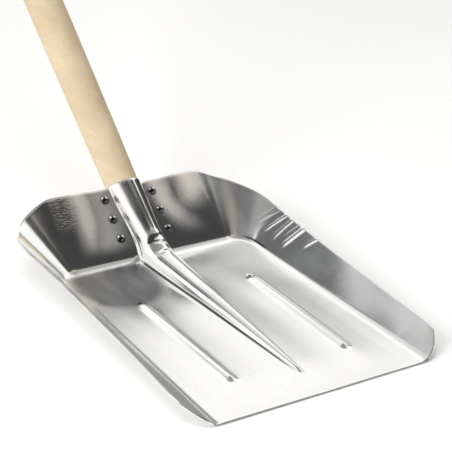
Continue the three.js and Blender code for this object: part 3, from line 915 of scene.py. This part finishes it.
def handle(material):
    """Turned wooden handle, very slightly out of round above the socket."""

    def wobble(height, angle):
        ease = min(max((height - 100.0) / 60.0, 0.0), 1.0)
        out = 0.10 * math.sin(2 * angle + height / 210.0) + 0.06 * math.sin(3 * angle - height / 90.0)
        return ease * (out + 0.08 * math.sin(height / 47.0))

    points, faces = turned(handle_profile(), HANDLE_SIDES, wobble)
    wall = np.stack([points[:, 0], points[:, 2], -points[:, 1] - HANDLE_DEPTH], axis=1)
    obj = mesh_object("handle_turned", on_wall(wall), faces, material)
    stand_for(obj, "handle")


def screw_head(top):
    """Points and faces of the domed head from crown to rim. The recess's middle comes last."""
    points = []
    for share in np.sin(np.linspace(0.0, math.pi / 2.0, SCREW_RINGS + 1))[1:]:
        dome = SCREW_HEAD_HEIGHT * (1.0 - math.sqrt(max(1.0 - share ** 2, 0.0)))
        for x, y, z in ring(SCREW_HEAD_RADIUS * share, top + dome, SCREW_SIDES):
            in_arm = 1 - smoothstep(min(abs(x), abs(y)), 0.35, 0.65)
            in_reach = 1 - smoothstep(max(abs(x), abs(y)), 2.0, 2.7)
            points.append((x, y, z + SCREW_RECESS * in_arm * in_reach))
    faces = [face[::-1] for face in cap_faces(0, len(points), SCREW_SIDES)]
    starts = [k * SCREW_SIDES for k in range(SCREW_RINGS)]
    for low, high in zip(starts, starts[1:]):
        faces += ring_faces(low, high, SCREW_SIDES)
    points.append((0.0, 0.0, top + SCREW_RECESS))
    return points, faces


def screw_shank(under):
    """[radius, height] rows of the shank, with its threads as rings."""
    rows = [(SCREW_HEAD_RADIUS, under), (SCREW_NECK_RADIUS, under)]
    for height in np.arange(under + 0.6, under + SCREW_LENGTH - 4.0, 0.35):
        turn = 2.0 * math.pi * (height - under) / SCREW_PITCH
        rows.append((SCREW_CORE_RADIUS + SCREW_THREAD * (0.5 + 0.5 * math.cos(turn)), height))
    rows.append((1.0, under + SCREW_LENGTH - 2.0))
    return rows


def screw(material):
    """Round-headed wood screw with a cross recess, square to the wall."""
    under = -2 * SHEET - GAP - trough_depth(SCREW_S + SCREW_HEAD_RADIUS) - GAP
    points, faces = screw_head(under - SCREW_HEAD_HEIGHT)
    previous = (SCREW_RINGS - 1) * SCREW_SIDES
    for radius, height in screw_shank(under):
        faces += ring_faces(previous, len(points), SCREW_SIDES)
        previous = len(points)
        points += ring(radius, height, SCREW_SIDES)
    faces += cap_faces(previous, len(points), SCREW_SIDES)
    points.append((0.0, 0.0, under + SCREW_LENGTH))
    placed = on_wall(np.array(points) + np.array([0.0, SCREW_S, 0.0]))
    obj = mesh_object("handle_screw_cross", placed, faces, material)
    stand_for(obj, "handle_screw")


# ------------ materials


class Nodes:
    """Short way to add and link the nodes of one material or world."""

    def __init__(self, owner):
        owner.use_nodes = True
        self.owner = owner
        self.tree = owner.node_tree

    def wire(self, socket, value):
        if isinstance(value, bpy.types.NodeSocket):
            self.tree.links.new(value, socket)
        else:
            socket.default_value = value

    def add(self, kind, settings=None, **inputs):
        node = self.tree.nodes.new(kind)
        for name, value in (settings or {}).items():
            setattr(node, name, value)
        for name, value in inputs.items():
            self.wire(node.inputs[name.replace("_", " ")], value)
        return node

    def surface(self, **looks):
        """Sets what the material's surface shows."""
        shader = self.tree.nodes["Principled BSDF"]
        for name, value in looks.items():
            self.wire(shader.inputs[name.replace("_", " ")], value)

    def place(self, scale=(1, 1, 1), rotation=(0, 0, 0)):
        """Object coordinates in metres, scaled along each axis."""
        where = self.add("ShaderNodeTexCoord").outputs["Object"]
        mapping = self.add("ShaderNodeMapping", Vector=where, Scale=scale, Rotation=rotation)
        return mapping.outputs["Vector"]

    def noise(self, vector, scale, detail=3.0, roughness=0.5, distortion=0.0):
        node = self.add(
            "ShaderNodeTexNoise", Vector=vector, Scale=scale, Detail=detail,
            Roughness=roughness, Distortion=distortion,
        )
        return node.outputs["Fac"]

    def ramp(self, value, low, high, out_low=0.0, out_high=1.0):
        """Eased change from one output to the other as the value goes from low to high."""
        node = self.add(
            "ShaderNodeMapRange", {"interpolation_type": "SMOOTHSTEP"},
            Value=value, From_Min=low, From_Max=high, To_Min=out_low, To_Max=out_high,
        )
        return node.outputs["Result"]

    def operate(self, kind, operation, values):
        node = self.add(kind, {"operation": operation})
        for socket, value in zip(node.inputs, values):
            self.wire(socket, value)
        return node.outputs["Value"]

    def maths(self, operation, *values):
        return self.operate("ShaderNodeMath", operation, values)

    def dot(self, vector, direction):
        return self.operate("ShaderNodeVectorMath", "DOT_PRODUCT", (vector, direction))

    def times(self, first, *others):
        for other in others:
            first = self.maths("MULTIPLY", first, other)
        return first

    def largest(self, first, *others):
        for other in others:
            first = self.maths("MAXIMUM", first, other)
        return first

    def near(self, value, centre, inner, outer, strength=1.0):
        """Full strength within inner of a centre, fading to nothing at outer."""
        off = self.maths("ABSOLUTE", self.maths("SUBTRACT", value, centre))
        return self.ramp(off, inner, outer, strength, 0.0)

    def length(self, a, b):
        squares = [self.maths("POWER", value, 2.0) for value in (a, b)]
        return self.maths("SQRT", self.maths("ADD", *squares))

    def mix(self, factor, a, b):
        node = self.add("ShaderNodeMix", {"data_type": "RGBA"})
        for index, value in ((0, factor), (6, a), (7, b)):
            self.wire(node.inputs[index], value)
        return node.outputs[2]

    def bumped(self, height, distance, strength, under=None):
        node = self.add("ShaderNodeBump", Height=height, Distance=distance, Strength=strength)
        if under is not None:
            self.wire(node.inputs["Normal"], under)
        return node.outputs["Normal"]


def sheet_metal(n, bright, dull, smooth, rough, scratch_depth):
    """Rolled aluminium: faint lines along the rolling direction, cloudy patches, fine scratches.
    Returns the colour, the roughness and the normal."""
    lines = n.noise(n.place((1800, 14, 1800)), 1.0, 4.0, 0.6)
    clouds = n.noise(n.place(), 16.0, 4.0, 0.55, 0.4)
    specks = n.noise(n.place(), 900.0, 2.0, 0.6)
    scratches = n.noise(n.place((60, 900, 60), (0, 0, 0.5)), 1.0, 5.0, 0.7)
    tone = n.maths("ADD", n.times(lines, 0.45), n.times(clouds, 0.55))
    colour = n.mix(n.ramp(tone, 0.3, 0.7), dull, bright)
    rough_tone = n.maths("ADD", n.times(clouds, 0.6), n.times(specks, 0.4))
    roughness = n.ramp(rough_tone, 0.3, 0.7, smooth, rough)
    grain = n.bumped(lines, 0.00002, 0.12)
    marks = n.bumped(n.ramp(scratches, 0.55, 0.8), scratch_depth, 0.3, grain)
    return colour, roughness, n.bumped(specks, 0.00001, 0.2, marks)


def plate_sheet(name):
    """The back plate's sheet: rolled aluminium, duller than the scoop's."""
    n = Nodes(bpy.data.materials.new(name))
    colour, roughness, normal = sheet_metal(
        n, (0.78, 0.78, 0.775, 1), (0.64, 0.64, 0.64, 1), 0.26, 0.42, 0.00003,
    )
    n.surface(Base_Color=colour, Roughness=roughness, Normal=normal, Metallic=1.0)
    return n.owner


def bands(n, table, x, z):
    """1 inside the bands of a table, fading out over their edges."""
    up = n.ramp(z, *BAND_HEIGHTS)
    masks = []
    for foot_x, rim_x, half_width, start, full, strength in table:
        centre = n.maths("ADD", n.times(up, rim_x - foot_x), foot_x)
        inside = n.near(x, centre, 0.0, BAND_SOFTNESS * half_width, strength)
        masks.append(n.times(inside, n.ramp(z, start, full)))
    return n.largest(*masks)


def painted_reflection_patch(n, x, y, z):
    """1 inside the painted reflection patch, 0 outside it and off the flat floor."""
    centre_x, centre_y, half_x, half_y = PAINTED_REFLECTION_PATCH
    across = n.maths("DIVIDE", n.maths("SUBTRACT", x, centre_x), half_x)
    along = n.maths("DIVIDE", n.maths("SUBTRACT", y, centre_y), half_y)
    inside = n.ramp(n.length(across, along), 0.76, 1.12, 1.0, 0.0)
    before_bend = n.ramp(y, CREASE_Y - 0.011, CREASE_Y - 0.001, 1.0, 0.0)
    return n.times(inside, n.ramp(z, FLOOR_Z + 0.0003, FLOOR_Z + 0.0018, 1.0, 0.0), before_bend)


def painted_foot_shade(n, x, y):
    """1 on the painted shade line along the ridge's left foot."""
    foot = n.maths("ADD", n.times(n.maths("SUBTRACT", y, FOOT_SHADE_Y), FOOT_SHADE_SLOPE), FOOT_SHADE_X)
    line = n.near(n.maths("ADD", x, foot), 0.0, *FOOT_SHADE_HALF_WIDTH)
    before_neck = n.ramp(y, CREASE_Y - 0.013, CREASE_Y - 0.003, 1.0, 0.0)
    return n.times(line, before_neck, n.ramp(y, TIP_Y + 0.001, TIP_Y + 0.037))


def pit_shade(n, x, y):
    """1 in each pit behind a rib, where shade is painted."""
    across = n.maths("SUBTRACT", n.maths("ABSOLUTE", x), 0.001 * RIB_X)
    along = n.maths("SUBTRACT", y, 0.001 * RIB_BACK + CREASE_Y)
    return n.ramp(n.length(across, along), *PIT_SHADE, 1.0, 0.0)


def corner_crease_shade(n, x, y, z):
    """1 on the short line of painted shade at the foot of the right back corner."""
    line = n.near(z, CREASE_SHADE_HEIGHT, *CREASE_SHADE_HALF_WIDTH)
    ends = n.times(n.ramp(y, 0.236, 0.250), n.ramp(y, 0.268, 0.280, 1.0, 0.0))
    return n.times(line, ends, n.ramp(x, 0.100, 0.104))


def painted_shade_lines(n, x, y, z):
    """1 where shade is painted: along the ridge's left foot, in each pit and in the corner's crease."""
    return n.largest(painted_foot_shade(n, x, y), pit_shade(n, x, y), corner_crease_shade(n, x, y, z))


def blade_sheet(name):
    """The scoop's sheet: rolled aluminium with rougher bands up the back wall painted beige as
    painted reflection streaks, fine ripples up the back wall, a rougher right back corner painted
    grey towards the rim as painted shade, a rougher patch at the left back painted dark grey as a
    painted reflection, painted shade lines and the front cut edge painted dark as shade."""
    n = Nodes(bpy.data.materials.new(name))
    colour, roughness, normal = sheet_metal(
        n, (0.90, 0.90, 0.89, 1), (0.80, 0.80, 0.795, 1), 0.08, 0.15, 0.00002,
    )
    where = n.add("ShaderNodeSeparateXYZ", Vector=n.place()).outputs
    exact_x, exact_y, z = where["X"], where["Y"], where["Z"]
    # The soft marks' outlines wander a few millimetres, the dark lines' don't.
    drift = n.times(n.maths("SUBTRACT", n.noise(n.place(), 17.0, 2.0), 0.5), 0.016)
    x = n.maths("ADD", exact_x, drift)
    y = n.maths("ADD", exact_y, drift)

    back_wall = n.ramp(exact_y, CREASE_Y + 0.007, CREASE_Y + 0.021)
    satin_painted_streaks = n.times(bands(n, PAINTED_STREAK_BANDS, x, z), back_wall)
    rippled = n.times(bands(n, RIPPLED_BANDS, x, z), back_wall)
    patch = painted_reflection_patch(n, x, y, z)
    corner = n.times(n.ramp(x, 0.096, 0.114), n.ramp(y, 0.258, 0.284))
    # Painted shade: the right back corner goes mid grey, more so further out towards the rim.
    corner_painted_shade = n.times(corner, n.ramp(x, 0.118, 0.134, 0.0, 0.7))
    lines = painted_shade_lines(n, exact_x, exact_y, z)
    # Painted shade: the front cut edge is painted dark.
    cut_edge_shade = n.ramp(exact_y, EDGE_Y - 0.0002, EDGE_Y + 0.0001, 0.75, 0.0)

    # Streaked dark grey of the painted reflection on the floor.
    streaks = n.noise(n.place((46, 12, 46), (0, 0, 0.7)), 1.0, 2.0, 0.5)
    grey = n.mix(n.ramp(streaks, 0.30, 0.72), (0.095, 0.100, 0.110, 1), (0.19, 0.195, 0.205, 1))
    # Painted reflection: beige streaks up the back wall, where the bands are also less metallic.
    colour = n.mix(n.times(satin_painted_streaks, 0.9), colour, (0.84, 0.78, 0.69, 1))
    # Painted reflection: the patch at the left back of the floor is painted streaked dark grey.
    colour = n.mix(n.times(patch, 0.9), colour, grey)
    # Painted shade: dark lines at the ridge's left foot, in each pit and in the corner's crease.
    colour = n.mix(n.times(lines, 0.93), colour, (0.07, 0.07, 0.068, 1))
    # Painted shade: mid grey on the right back corner, stronger towards the rim.
    colour = n.mix(corner_painted_shade, colour, (0.46, 0.46, 0.46, 1))
    # Painted shade on the front cut edge.
    colour = n.mix(cut_edge_shade, colour, (0.14, 0.14, 0.135, 1))

    rougher = n.largest(
        n.maths("ADD", n.times(satin_painted_streaks, 0.30), n.times(patch, 0.22)), n.times(corner, 0.17),
    )
    hatch = n.noise(n.place((150, 620, 620), (0.3, 0.2, 0.5)), 1.0, 2.0, 0.6, 0.4)
    n.surface(
        Base_Color=colour,
        Metallic=n.maths("SUBTRACT", 1.0, n.times(satin_painted_streaks, 0.62)),
        Roughness=n.maths("ADD", roughness, rougher),
        Normal=n.bumped(n.times(hatch, rippled), 0.0004, 0.5, normal),
    )
    return n.owner


def rivet_metal(name):
    """Dark polished rivet heads, with two painted highlights on the crown."""
    n = Nodes(bpy.data.materials.new(name))
    colour, roughness, normal = sheet_metal(
        n, (0.17, 0.17, 0.17, 1), (0.12, 0.12, 0.12, 1), 0.14, 0.20, 0.00001,
    )
    facing = n.add("ShaderNodeNewGeometry").outputs["Normal"]
    # Painted highlights: near-white, mostly non-metallic spots where the head faces the listed
    # directions.
    painted_highlight = n.largest(*[
        n.ramp(n.dot(facing, direction), low, high) for direction, low, high in PAINTED_HIGHLIGHTS
    ])
    n.surface(
        Base_Color=n.mix(painted_highlight, colour, (0.95, 0.95, 0.94, 1)),
        Roughness=roughness,
        Normal=normal,
        Metallic=n.maths("SUBTRACT", 1.0, n.times(painted_highlight, 0.9)),
    )
    return n.owner


def turned_wood(name):
    """Pale turned beech: long fine grain, short dark flecks, slow changes of tone."""
    n = Nodes(bpy.data.materials.new(name))
    lean = (-WALL_ANGLE, 0, 0)
    tone = n.noise(n.place((26, 2.2, 26), lean), 1.0, 3.0, 0.5, 0.4)
    grain = n.noise(n.place((420, 9, 420), lean), 1.0, 5.0, 0.65, 0.15)
    fibres = n.noise(n.place((2400, 40, 2400), lean), 1.0, 3.0, 0.6)
    flecks = n.noise(n.place((760, 120, 760), lean), 1.0, 2.0, 0.5)
    colour = n.mix(n.ramp(tone, 0.3, 0.72), (0.52, 0.405, 0.26, 1), (0.625, 0.51, 0.35, 1))
    colour = n.mix(n.ramp(grain, 0.45, 0.8, 0.0, 0.4), colour, (0.47, 0.34, 0.20, 1))
    colour = n.mix(n.ramp(fibres, 0.5, 0.8, 0.0, 0.3), colour, (0.72, 0.62, 0.47, 1))
    colour = n.mix(n.ramp(flecks, 0.64, 0.74, 0.0, 0.5), colour, (0.30, 0.19, 0.10, 1))
    n.surface(
        Base_Color=colour,
        Roughness=n.ramp(grain, 0.3, 0.8, 0.48, 0.66),
        Normal=n.bumped(flecks, 0.00008, 0.4, n.bumped(grain, 0.0001, 0.5)),
    )
    return n.owner


def plated_steel(name):
    """Zinc-plated steel with a faint mottle."""
    n = Nodes(bpy.data.materials.new(name))
    mottle = n.noise(n.place(), 700.0, 4.0, 0.6)
    n.surface(
        Base_Color=n.mix(mottle, (0.50, 0.51, 0.53, 1), (0.72, 0.72, 0.71, 1)),
        Roughness=n.ramp(mottle, 0.3, 0.7, 0.22, 0.38),
        Metallic=1.0,
        Normal=n.bumped(mottle, 0.00003, 0.4),
    )
    return n.owner


def pale_floor(name):
    """Matt, nearly white floor with a slow change of tone."""
    n = Nodes(bpy.data.materials.new(name))
    haze = n.noise(n.place(), 3.0, 3.0, 0.5)
    n.surface(
        Base_Color=n.mix(haze, (0.90, 0.90, 0.89, 1), (0.93, 0.93, 0.92, 1)),
        Roughness=0.9,
        Specular_IOR_Level=0.0,
    )
    return n.owner


# ------------ floor, light and camera


def studio_floor():
    """Large flat pale floor just under the scoop."""
    span = (-STUDIO_FLOOR_HALF, STUDIO_FLOOR_HALF)
    points = [(x, y, -SHEET - STUDIO_FLOOR_DROP) for y in span for x in span]
    obj = mesh_object("studio_floor", points, [(0, 1, 3, 2)], pale_floor("studio_floor"))


def studio_world():
    """Bright surroundings with soft darker parts, which the sheet reflects."""
    n = Nodes(bpy.data.worlds.new("studio"))
    direction = n.add("ShaderNodeTexCoord").outputs["Generated"]
    colour = (*STUDIO_BASE, 1.0)
    for angles, tint in STUDIO_LOBES:
        azimuth, elevation, inner, outer = (math.radians(angle) for angle in angles)
        centre = (
            math.cos(elevation) * math.cos(azimuth),
            math.cos(elevation) * math.sin(azimuth),
            math.sin(elevation),
        )
        lobe = n.ramp(n.dot(direction, centre), math.cos(outer), math.cos(inner))
        colour = n.mix(lobe, colour, (*tint, 1.0))
    n.wire(n.tree.nodes["Background"].inputs["Color"], colour)
    bpy.context.scene.world = n.owner


def soft_light(name, place, target, size, power):
    """Round lamp that lights the scene but isn't seen in reflections."""
    data = bpy.data.lights.new(name, "AREA")
    data.shape = "DISK"
    data.size = size
    data.energy = power
    light = bpy.data.objects.new(name, data)
    light.location = place
    light.rotation_euler = (Vector(target) - Vector(place)).to_track_quat("-Z", "Y").to_euler()
    light.visible_glossy = False
    bpy.context.scene.collection.objects.link(light)


def camera():
    """Camera in front, to the left and above, rolled a little, with a long lens."""
    azimuth, elevation, roll = (math.radians(angle) for angle in CAMERA_ANGLES)
    back = Vector((
        math.sin(azimuth) * math.cos(elevation),
        -math.cos(azimuth) * math.cos(elevation),
        math.sin(elevation),
    ))
    level = Vector((math.cos(azimuth), math.sin(azimuth), 0.0))
    right = level * math.cos(roll) + back.cross(level) * math.sin(roll)
    up = back.cross(right)
    data = bpy.data.cameras.new("camera")
    data.lens = LENS
    obj = bpy.data.objects.new("camera", data)
    turn = Matrix((right, up, back)).transposed().to_4x4()
    obj.matrix_world = Matrix.Translation(Vector(CAMERA_PLACE)) @ turn
    bpy.context.scene.collection.objects.link(obj)
    bpy.context.scene.camera = obj


# ------------ the object

blade(blade_sheet("blade_aluminium"))
back_plate(plate_sheet("plate_aluminium"))
handle(turned_wood("handle_wood"))
screw(plated_steel("screw_steel"))
rivet_places = [(side * RIVET_X, s) for s in RIVET_S for side in (-1, 1)]
rivet_aluminium = rivet_metal("rivet_aluminium")
for number, (rivet_x, rivet_s) in enumerate(rivet_places, 1):
    rivet(number, rivet_x, rivet_s, rivet_aluminium)

studio_floor()
studio_world()
for lamp in LAMPS:
    soft_light(*lamp)
camera()
bpy.context.scene.view_settings.view_transform = "Standard"
